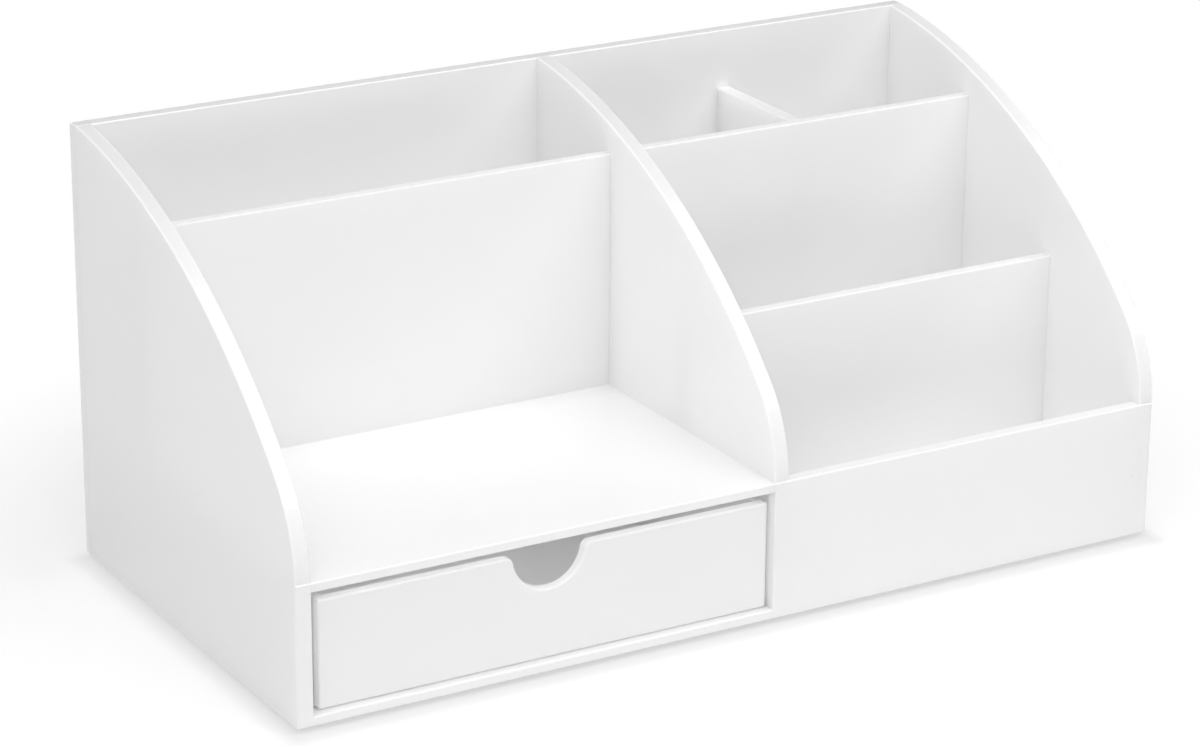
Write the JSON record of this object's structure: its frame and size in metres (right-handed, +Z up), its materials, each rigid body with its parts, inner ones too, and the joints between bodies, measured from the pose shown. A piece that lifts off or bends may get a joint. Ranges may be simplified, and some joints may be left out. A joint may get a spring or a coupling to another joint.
{
  "type": "desk organizer with drawer",
  "caption": "White acrylic desk organizer with a curved profile: an open shelf and rear slot over a sliding drawer, and stepped upright bays beside them.",
  "frame": {"origin": "centre of the footprint, on the surface that the feet stand on", "axes": "+X to the right seen from the front, +Y towards the back, +Z up; the drawer opens along -Y"},
  "size_m": [0.3, 0.15, 0.142],
  "materials": {
    "body_acrylic": "polished white acrylic sheet",
    "drawer_acrylic": "polished white acrylic sheet",
    "foot_rubber": "soft milky rubber"
  },
  "bodies": {
    "body": {"base_plate": "body_acrylic", "front_plate": "body_acrylic", "back_plate": "body_acrylic", "left_side_panel": "body_acrylic", "right_side_panel": "body_acrylic", "middle_divider": "body_acrylic", "shelf": "body_acrylic", "left_partition": "body_acrylic", "right_rear_partition": "body_acrylic", "right_front_partition": "body_acrylic", "pen_divider": "body_acrylic", "foot_front_left": "foot_rubber", "foot_front_right": "foot_rubber", "foot_back_left": "foot_rubber", "foot_back_right": "foot_rubber"},
    "drawer": {"drawer_front": "drawer_acrylic", "drawer_left_side": "drawer_acrylic", "drawer_right_side": "drawer_acrylic", "drawer_back": "drawer_acrylic", "drawer_floor": "drawer_acrylic"}
  },
  "joints": [
    {"name": "drawer_slide", "type": "slide", "parent": "body", "child": "drawer", "axis": [0, -1, 0], "range_m": [0, 0.115]}
  ]
}
